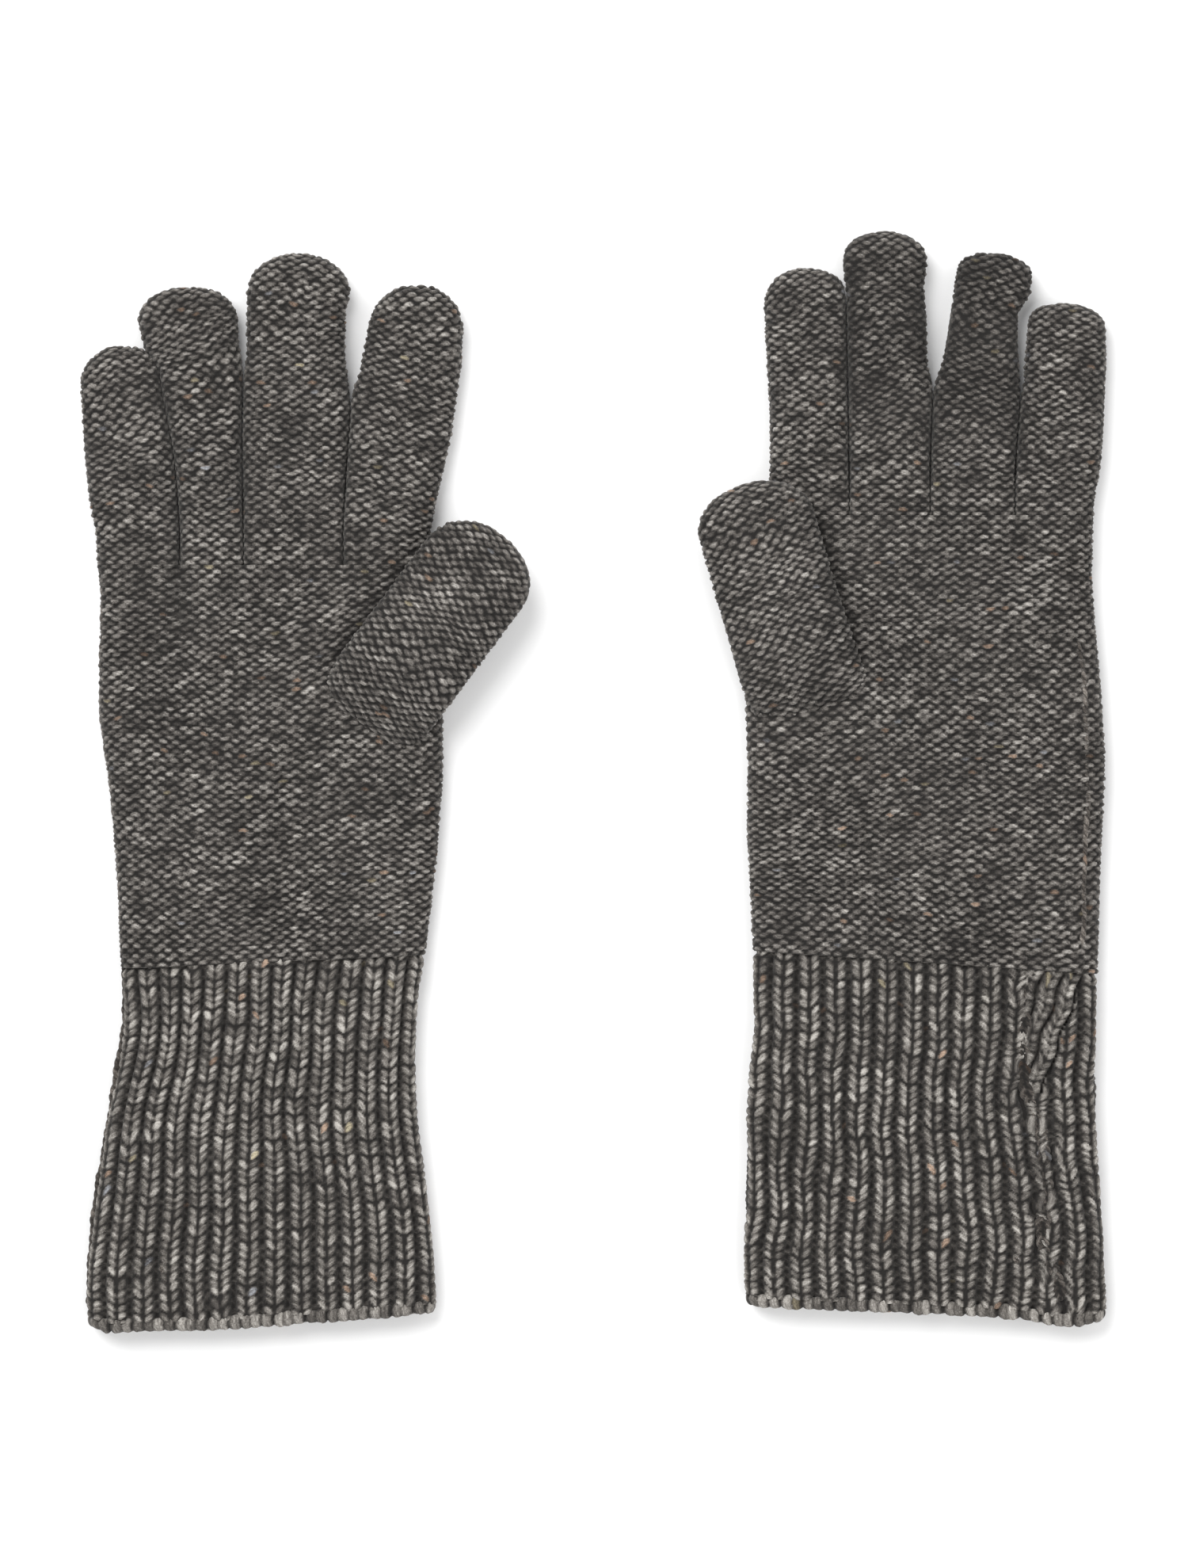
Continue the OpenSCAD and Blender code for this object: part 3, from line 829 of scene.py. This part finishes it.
        r_n = (0.75 + 0.75 * st["h"] * big) * wob
        c, sn = np.cos(phi)[:, None, None], np.sin(phi)[:, None, None]
        pts = p[None] + n[None] * c * r_n[..., None] + np.array([0, 1, 0]) * sn * r_y[..., None]
        pts[..., 1] += np.interp(p[:, 0], *SAG[side])[None]
        pts[..., 2] = np.maximum(pts[..., 2], 0)  # it rests on the table
        rows, cols = n_cross, len(p)
        ring = np.arange(cols)
        quads = np.concatenate([grid_faces(rows, cols), band((rows - 1) * cols + ring, ring)])
        faces = quads, np.zeros((0, 3), int)
        unwrap = [grid_uv(rows + 1, cols, 0, 1)]
        o = add_mesh(f"{side}_hem_knit", pts.reshape(-1, 3), faces, yarn_values(st), unwrap, CUFF)
        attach(o, f"{side}_cuff")
        self.stands_for(o, "hem")

    # ---- Fingers ----

    def halves(self, name, ycs, cut_y, base, ground, s, relief):
        """The root half and the tip half of a finger or thumb. They share their ring at the cut."""
        cut = int(np.argmin(np.abs(ycs - cut_y)))
        for part, a, b in (("root", 0, cut + 1), ("tip", cut, len(ycs))):
            own = {key: value[a:b] for key, value in s.items()}
            ends = {"close_low": name == "thumb" and part == "root", "close_high": part == "tip"}
            piece = f"{self.side}_{name}_{part}_knit"
            yield part, a, b, knit(piece, base[a:b], ground[a:b], own, relief[a:b], HAND, **ends)

    def finger_shape(self, name):
        """Left and right edges of a finger at places along it, and the end of its tip, from its CAD nodes."""
        side = self.side
        tip_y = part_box(f"{side}_{name}_tip")[1].y / MM
        ys1 = np.arange(self.root_y + 0.5, self.knuckle_y - 0.4, 0.5)
        ys2 = np.arange(self.knuckle_y + 0.5, tip_y - 11.0, 0.5)
        l1, r1 = edges_at(f"{side}_{name}_root", ys1)
        l2, r2 = edges_at(f"{side}_{name}_tip", ys2)
        ys, l, r = np.concatenate([ys1, ys2]), np.concatenate([l1, l2]), np.concatenate([r1, r2])
        grid = np.arange(ys[0], ys[-1], 1.0)
        l, r = np.interp(grid, ys, l), np.interp(grid, ys, r)
        l, r = soft(l, 3.5, 1.0), soft(r, 3.5, 1.0)
        return grid, l, r, tip_y

    def gap_line(self, k, y):
        """The line half way between finger k from the left and the next one."""
        a, b = self.shapes[k], self.shapes[k + 1]
        return (np.interp(y, a[0], a[2]) + np.interp(y, b[0], b[1])) / 2

    def finger(self, k):
        side, name = self.side, self.order[k]
        grid, gl, gr, tip_y = self.shapes[k]
        own = SHAPES[side][name]
        end_l, end_r = own["end"]
        end_len = max(end_l, end_r)
        tip_y += own["longer"]
        y_top = self.top_y
        gap_l = GAPS[side][k - 1] if k > 0 else None
        gap_r = GAPS[side][k] if k < 3 else None

        def touch(gap, y):
            """1 where this finger touches the next one, easing to 0 past the end of the gap between them."""
            return 1 - smooth((y - gap[1] + 5) / 10)

        def close(gap, y):
            """How far this finger's edge is pressed over the line between them."""
            return 0.26 + 0.3 * (1 - smooth((y - gap[0] + 4) / 10))

        def edge_at(rim, moves, hand, gap, line, outwards):
            """One edge before the tip's rounding, which starts at the hand's edge or on the line between two fingers."""
            e = np.interp(ycs, grid, rim) + (rim[-1] - rim[-7]) / 6 * np.maximum(ycs - grid[-1], 0)
            e = e + np.interp(ycs, *moves)
            if gap is None:
                w = smooth((ycs - y_top) / 14)
                return hand * (1 - w) + e * w
            w = touch(gap, ycs)
            return e * (1 - w) + (self.gap_line(line, ycs) + outwards * close(gap, ycs)) * w

        ycs = np.concatenate([np.arange(y_top, tip_y - end_len, FINE_STEP), end_places(tip_y, end_len)])
        wide_l, wide_r = (rounded_end(tip_y - ycs, end, own["square"], 0.03) for end in (end_l, end_r))
        tall = rounded_end(tip_y - ycs, 5.5)
        hand_l, hand_r = self.edge(np.minimum(ycs, self.root_y - 1.5))
        ls = edge_at(gl, own["left"], hand_l, gap_l, k - 1, -1)
        rs = edge_at(gr, own["right"], hand_r, gap_r, k, 1)
        mids = (ls + rs) / 2
        slope = soft(np.gradient(mids, ycs), 6.0, FINE_STEP) * smooth((ycs - y_top) / 12)

        def power(gap, half, y):
            if gap is None:
                g = smooth((y - y_top - 2) / 17)
                return side_power(half) * 0.8 * (1 - g) + SIDE_ROUND * g
            g = smooth((y - gap[0]) / 15)
            w = touch(gap, y)
            return 20 * (1 - g) + (SIDE_ROUND * (1 - w) + 3.6 * w) * g

        stations = []
        for q, y in enumerate(ycs):
            half = (rs[q] - ls[q]) / 2
            xl, xr = mids[q] - half * wide_l[q], mids[q] + half * wide_r[q]
            puff = own["puff"] * smooth((y - y_top) / 16) * tall[q]
            sides = power(gap_l, half, y), power(gap_r, half, y)
            tilt = -slope[q] * min(1.0, wide_l[q] + wide_r[q])
            stations.append(station(y, xl, xr, sides, tilt, up=MID * tall[q] + puff, down=MID * tall[q]))
        girth = 2 * (rs - ls).max() + 16
        n_top = int(round((girth / 2) / STEP))
        base, s = tube(stations, n_top, int(n_top * 0.66))
        x, y, z = (base[..., q].copy() for q in range(3))
        top = smooth((z - 5.2) / 3.5)
        seed = self.seed + 100 * (k + 1)
        lift = 0.4 * wave(x, y, 24, seed + 1) * smooth((y - y_top) / 10)
        lift = lift + self.swell(x, y) * smooth(1 - (y - y_top) / 14)
        for _, _, crease_x, crease_y, depth, width in CREASES[side]:
            if crease_y > y_top:
                lift = lift - depth * smooth((crease_y + 6 - y) / 10) * np.exp(-0.5 * ((x - crease_x) / width) ** 2)
        for cx, cy, rad, amount in own["bumps"]:
            lift = lift + amount * hill(x, y, cx, cy, rad, rad)
        base[..., 2] += lift * top
        run = run_along(base[:, n_top // 2])
        u = (mids[0] + s) / WALE
        v = self.v_at(y_top) + (run / ROW)[:, None] + 0 * s
        away = smooth((y - y_top) / 16)
        u = u + away * 0.12 * wave(x, y, 14, seed + 3)
        v = v + away * (0.7 * wave(x, y, 30, seed + 4) + 0.25 * wave(x, y, 11, seed + 5))
        st = purl(u, v, self.seed)
        f = felted(x, y, self.seed + 7) * 0.4 * (1 - away) + away * (0.1 + own["felt"] * felted(x, y, seed + 6))
        f = np.clip(f, 0, 0.75)
        # touching sides are pressed flat against each other
        pressed, crease = np.zeros(s.shape), np.zeros(s.shape)
        for gap, e in ((gap_l, ls), (gap_r, rs)):
            deep = 0.14 if gap is None else 0.5 * smooth((y - gap[0] + 6) / 20)
            crease = np.maximum(crease, deep * bell(x - e[:, None], 2.3))
            if gap is not None:
                pressed = np.maximum(pressed, bell(x - e[:, None], 1.2) * touch(gap, y))
        relief = 0.95 * (1 - f) * (1 - 0.7 * pressed)
        ground = 0.45 * f * (1 - 0.6 * pressed)
        st["tone"] = st["tone"] * (1 - 0.6 * f) + 0.12 * wave(x, y, 16, seed + 8) * away - 0.12 * f * away
        st["tone"] = st["tone"] - own["dark"] * smooth((y - 92) / 24) * (0.5 + 0.7 * felted(x, y, seed + 9))
        # painted shade: the colour darkens over about 2 mm on each side of a crease between fingers, and a little
        # along a free side
        st["shade"] = crease * top
        for part, a, b, o in self.halves(name, ycs, self.knuckle_y - FOLD, base, ground, st, relief):
            line = self.root_y if part == "root" else self.knuckle_y
            start, end = (0, (line - FOLD) * MM, TUBE_H * MM), (0, (line + FOLD) * MM, TUBE_H * MM)
            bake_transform(o)
            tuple(start)
            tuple(end)
            self.stands_for(o, f"{name}_{part}")

    # ---- Thumb ----

    def thumb(self):
        side = self.side
        at, kn, d, e = self.thumb_axes()

        def to_local(co):
            q = co[:, :2] - at
            return np.stack([q @ e, q @ d, co[:, 2]], axis=1)

        tip_co = to_local(mesh_of(f"{side}_thumb_tip")[0])
        root_co = to_local(mesh_of(f"{side}_thumb_root")[0])
        y_end = tip_co[:, 1].max()
        half = root_co[:, 0].max()
        knuckle = float(np.linalg.norm(kn - at))
        shape = THUMBS[side]
        y_base, end_len = shape["base"], shape["end"]
        body = np.arange(y_base + 6, y_end - end_len, FINE_STEP)
        low = np.linspace(0, 1, 24)[:-1]
        low = y_base + 6 - 6 * np.sin((1 - low) * math.radians(87))
        ycs = np.concatenate([low, body, end_places(y_end, end_len)])
        width = rounded_end(y_end - ycs, end_len, 2.3, 0.03)
        width_b = 1 - 0.28 * (1 - np.clip((ycs - y_base) / 6, 0, 1)) ** 2
        tall = rounded_end(y_end - ycs, 6) * rounded_end(ycs - y_base, 6)
        rise = smooth((ycs - y_base) / shape["ramp"])
        droop = np.maximum(ycs - shape["over"], 0) ** 2 * shape["droop"]
        z_mid = 3 * MID + 0.1 - shape["sink"] * (1 - rise) - droop
        left = np.interp(ycs, shape["at"], shape["left"])
        right = np.interp(ycs, shape["at"], shape["right"])
        stations = []
        for k, y in enumerate(ycs):
            w = half * width[k] * width_b[k]
            mid = (left[k] + right[k]) / 2
            hw = w + (right[k] - left[k]) / 2 * min(1.0, width[k] * 1.5)
            height = MID * tall[k]
            stations.append(station(y, mid - hw, mid + hw, (3.6, 3.6), z=z_mid[k], up=height, down=height))
        n_top = int(round(40 / 0.56))
        base, s = tube(stations, n_top, int(n_top * 0.66))
        x, y, z = (base[..., q].copy() for q in range(3))
        seed = self.seed + 700
        top = smooth((z - z_mid[:, None]) / 3.5)
        base[..., 2] += 0.45 * wave(x, y, 22, seed + 1) * top
        run = run_along(base[:, n_top // 2])
        u = s / WALE + 0.12 * wave(x, y, 14, seed + 3)
        v = (run / ROW)[:, None] + 0.6 * wave(x, y, 26, seed + 4) + 0.25 * wave(x, y, 11, seed + 5)
        st = purl(u, v, seed)
        f = 0.15 + 0.5 * felted(x, y, seed + 6)
        st["tone"] = st["tone"] * (1 - 0.5 * f) + 0.2 * wave(x, y, 18, seed + 8)
        relief = 0.95 * (1 - f)
        ground = 0.45 * f
        # painted shade along the thumb's side that faces the middle of the palm
        st["shade"] = 0.4 * bell(x * shape["inner"] - half, 2.6) * smooth((y + 6) / 14)
        world = np.empty_like(base)
        world[..., :2] = at + x[..., None] * e + y[..., None] * d
        world[..., 2] = base[..., 2]

        def point(along):
            return (*((at + d * along) * MM), 2 * TUBE_H * MM)

        # each half's CAD node and two points on its axis: near the base for the root half, near the knuckle for the
        # tip half
        bends = {
            "root": (f"{side}_hand", point(y_base - 1), point(y_base + 13)),
            "tip": (f"{side}_thumb_root", point(knuckle - 2), point(knuckle + 13)),
        }
        for part, a, b, o in self.halves("thumb", ycs, knuckle - THUMB_FOLD, world, ground, st, relief):
            low, start, end = bends[part]
            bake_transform(o)
            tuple(start)
            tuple(end)
            self.stands_for(o, f"thumb_{part}")

    # ---- Seams and yarn ends ----

    def sewn_line(self, name, route, radius, lump, seed, flat=1.0, turns=1.0, split=False, dark=0.1):
        """A sewn line of yarn: a ridge of slanted lumps along a route of points, or two mirrored rows of them."""
        route = np.array(route, float)
        d = run_along(route)
        at = np.arange(0, d[-1], FINE_STEP)
        path = np.stack([np.interp(at, d, route[:, k]) for k in range(3)], axis=1)
        for k in range(3):
            path[:, k] = soft(path[:, k], 2.5, FINE_STEP)
        fwd = np.gradient(path, axis=0)
        fwd /= np.linalg.norm(fwd, axis=1, keepdims=True)
        side = np.cross(fwd, [0, 0, 1.0])
        side /= np.linalg.norm(side, axis=1, keepdims=True)
        up = np.cross(side, fwd)
        phi = np.linspace(0, 2 * math.pi, CORD_POINTS, endpoint=False)
        u = at[:, None] / lump + 0 * phi[None, :]
        v = phi[None, :] / (2 * math.pi) + 0 * u
        across = np.cos(phi)[None, :] + 0 * u
        w = u + turns * (np.abs(across) + 0.5 * (across > 0) if split else np.abs(2 * v - 1))
        c0 = np.floor(w).astype(np.int64)
        st = blank(u)
        for dc in (0, 1):
            c = c0 + dc
            x = (w - c) * lump
            q = 1 - (x / (lump * 0.56)) ** 2 - (0.75 * bell(across, 0.3) if split else 0)
            tone = 1.2 * (rnd(c, c * 0 + 2, seed) - 0.5 - dark)
            raise_lump(st, dome(q), v * 7, x, rnd(c, c * 0 + 4, seed + 1), tone)
        ends = np.minimum(1, np.sqrt(np.minimum(at, at[-1] - at)[:, None] / 2.0 + 0.02))
        wob = 1 + 0.16 * wave(at, at * 0, 7, seed + 2)[:, None]
        r = (radius * 0.72 + radius * 0.42 * st["h"]) * ends * wob
        pts = path[:, None] + side[:, None] * (np.cos(phi)[None, :] * r)[..., None]
        pts = pts + up[:, None] * (np.sin(phi)[None, :] * r * flat)[..., None]
        rows, cols = len(at), CORD_POINTS
        quads = grid_faces(rows, cols, flip=True)
        ring = np.arange(cols)
        k = rows * cols
        tris = np.concatenate([fan(ring, k), fan(k - cols + ring, k + 1, flip=True)])
        all_pts = np.concatenate([pts.reshape(-1, 3), [path[0], path[-1]]])
        uv = [grid_uv(rows, cols, 0, 0.9, flip=True), fan_uv(cols, 0.91, 0.94), fan_uv(cols, 0.95, 0.98, flip=True)]
        return add_mesh(name, all_pts, (quads, tris), yarn_values(st, 2), uv, SEAM)

    def seams(self):
        side = self.side
        y0, y1 = self.wrist[1], self.root_y
        if side == "right":
            ys = np.arange(y0, y1 - 6, 2.0)
            xl, _ = self.edge(ys)
            hand_route = [(x + 1.35, y, 4.6) for x, y in zip(xl, ys)]
            ys = np.arange(self.hem_y + 1, y0, 2.0)
            xl, _ = self.edge(ys)
            bulge = 1.2 * bell(ys + 80, 7)
            cuff_route = [(x + 1.3 - b, y, 4.8) for x, y, b in zip(xl, ys, bulge)]
            hand_r, cuff_r = 1.35, 1.45
        else:
            ys = np.arange(y0 + 4, 42, 2.0)
            x = np.interp(ys, *LEFT_HAND_SEAM) + 0.5 * wave(ys, ys * 0, 18, 5)
            hand_route = [(a, b, 8.92) for a, b in zip(x, ys)]
            ys = np.arange(self.hem_y + 2, -57, 2.0)
            x = self.seam_x(ys) + 0.6 * wave(ys, ys * 0, 12, 6)
            cuff_route = [(a, b, 8.3) for a, b in zip(x, ys)]
            hand_r, cuff_r = 0.7, 1.9
        o = self.sewn_line(f"{side}_side_seam_knit", hand_route, hand_r, 2.6, self.seed + 801, flat=1.1)
        self.join_wrist(o)
        self.stands_for(o, "side_seam")
        # the left cuff's seam shows as two mirrored rows of stitches
        split = side == "left"
        o = self.sewn_line(
            f"{side}_cuff_seam_knit", cuff_route, cuff_r, 2.5, self.seed + 811, flat=0.62, split=split, dark=0.4
        )
        self.join_wrist(o)
        self.stands_for(o, "cuff_seam")

    def yarn_end(self):
        """The darned end of the seam's yarn: a small flat coil pressed into the ribs."""
        side = self.side
        lo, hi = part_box(f"{side}_yarn_end")
        c = (np.array(lo) + np.array(hi)) / 2 / MM
        r = (hi.x - lo.x) / MM / 2
        t = np.linspace(0, 1, 90)
        turn = t * 2 * math.pi * 2.1 + 0.8
        rad = r * (0.25 + 0.5 * t)
        z = 9.9 - 0.25 * t - 1.2 * smooth((t - 0.85) / 0.15)
        route = np.stack([c[0] + rad * np.cos(turn), c[1] + rad * 0.85 * np.sin(turn), z], axis=1)
        o = self.sewn_line(f"{side}_yarn_end_knit", route, 0.7, 2.2, self.seed + 821, turns=0.6)
        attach(o, f"{side}_cuff")
        self.stands_for(o, "yarn_end")

    def build(self):
        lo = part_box(f"{self.side}_cuff")[0].y / MM
        xl, xr = self.left[0], self.right[0]
        self.hem_y = lo + abs(HEM_SLOPE[self.side]) * (xr - xl) / 2
        self.hand()
        self.cuff()
        self.hem()
        self.order = FINGERS if self.side == "right" else FINGERS[::-1]
        self.shapes = [self.finger_shape(name) for name in self.order]
        for k in range(4):
            self.finger(k)
        self.thumb()
        self.seams()
        self.yarn_end()


def shape(end, square, puff, felt, left=((0,), (0,)), right=((0,), (0,)), bumps=(), longer=0.0, dark=0.0):
    """How a finger differs from its plain CAD tube. end: length of its rounded end, on its left and right. square: how
    square that end is. puff: how much its middle swells. felt: how far it is felted. left and right: y, and the
    sideways move of that edge there. bumps: x, y, radius and height. longer: how far its tip stands past the frame's.
    dark: how much darker its felted upper part is."""
    return {
        "end": end, "square": square, "puff": puff, "felt": felt, "left": left, "right": right, "bumps": bumps,
        "longer": longer, "dark": dark,
    }


SHAPES = {
    "right": {
        "little": shape((10, 10), 2.6, 0.3, 0.4, left=((72, 80, 94, 112, 123), (0, -1.2, -1.8, -1.8, -1.5))),
        "ring": shape(
            (9, 13), 2.7, 0.5, 0.3, left=((115, 120, 124, 130, 139), (0, -1.2, -2.4, -2.6, -2.8)),
            right=((118, 128, 136), (0, -0.3, -1.2)), bumps=((-123, 123, 7, 1.0), (-122, 114, 4, -0.5)),
        ),
        "middle": shape((13, 13), 2.3, 0.4, 0.2, right=((112, 122, 134, 140), (0, -1.6, -2.2, -0.6))),
        "index": shape(
            (13, 14), 2.3, 0.4, 0.2, left=((108, 122, 134), (0, 0.8, 1.8)),
            right=((70, 80, 90, 100, 120, 126), (-2.2, -1.6, -0.2, 0.8, 0.8, 0.2)),
        ),
    },
    "left": {
        "little": shape(
            (7, 8), 3.0, 0.3, 0.4, left=((110, 124, 134), (0, -0.8, -1.3)),
            right=((84, 96, 120, 130), (0.9, 1.7, 1.4, 0.6)),
        ),
        "ring": shape(
            (8, 6), 3.0, 0.5, 0.6, dark=0.55, left=((112, 122, 139), (0, 0.4, 0.8)),
            right=((112, 124, 134, 140), (0, -1.4, -2.2, 0.9)),
        ),
        "middle": shape(
            (9, 11), 2.6, 0.4, 0.6, dark=0.5, left=((135, 142), (0, -0.8)),
            right=((108, 118, 130, 140, 150), (0, -0.8, -1.3, -2.3, -1.2)),
        ),
        "index": shape((12, 8), 2.6, 0.4, 0.3, left=((84, 100), (0, 0.3)), longer=0.6),
    },
}
# The same for the thumbs. base: where the round base starts. ramp and sink: over what length the base climbs out of
# the palm, and from how deep. over and droop: from where, and how fast, the free end sags past the edge of the hand.
# inner: which of its sides faces the middle of the palm; shade is painted along that side.
THUMBS = {
    "right": {
        "base": -13.0, "ramp": 22.0, "sink": 7.6, "over": 24.0, "droop": 0.003, "end": 14.0, "inner": -1,
        "at": (-14, 0, 20, 54), "left": (1.5, 0, 0, 0), "right": (-1, 0, 0, 0),
    },
    "left": {
        "base": -13.0, "ramp": 26.0, "sink": 7.8, "over": 26.0, "droop": 0.003, "end": 13.0, "inner": 1,
        "at": (-14, 0, 20, 54), "left": (1.5, 0, 0, 0), "right": (2.5, 1, 0, 0),
    },
}

for side in ("right", "left"):
    Glove(side).build()

# ---- Floor, light and camera ----


def plain(name, colour, roughness):
    m = bpy.data.materials.new(name)
    m.use_nodes = True
    b = m.node_tree.nodes["Principled BSDF"]
    b.inputs["Base Color"].default_value = (*colour, 1)
    b.inputs["Roughness"].default_value = roughness
    return m


bpy.ops.mesh.primitive_plane_add(size=6, location=(0, 0, -0.0002))
floor = bpy.context.object
floor.name = "floor"
floor.data.materials.append(plain("floor_paper", (0.93, 0.93, 0.93), 0.9))


def area(name, at, size, power, target=(0, 0, 0)):
    light = bpy.data.lights.new(name, "AREA")
    light.shape = "DISK"
    light.size = size
    light.energy = power
    o = bpy.data.objects.new(name, light)
    o.location = at
    o.rotation_euler = (Vector(target) - Vector(at)).to_track_quat("-Z", "Y").to_euler()
    bpy.context.scene.collection.objects.link(o)


area("key", (-0.7, 0.95, 1.5), 1.5, 33)
area("fill", (1.1, -0.7, 1.5), 1.6, 15)
world = bpy.data.worlds.new("studio")
world.use_nodes = True
world.node_tree.nodes["Background"].inputs[0].default_value = (1, 1, 1, 1)
world.node_tree.nodes["Background"].inputs[1].default_value = 0.68
bpy.context.scene.world = world
bpy.context.scene.view_settings.view_transform = "Standard"

cam = bpy.data.cameras.new("camera")
cam.sensor_fit = "VERTICAL"
cam.sensor_height = 24
camera = bpy.data.objects.new("camera", cam)
camera.location = (0, 0, 2.4)
cam.lens = 24 * (2.4 - 0.008) / 0.4398
cam.clip_end = 20
bpy.context.scene.collection.objects.link(camera)
bpy.context.scene.camera = camera
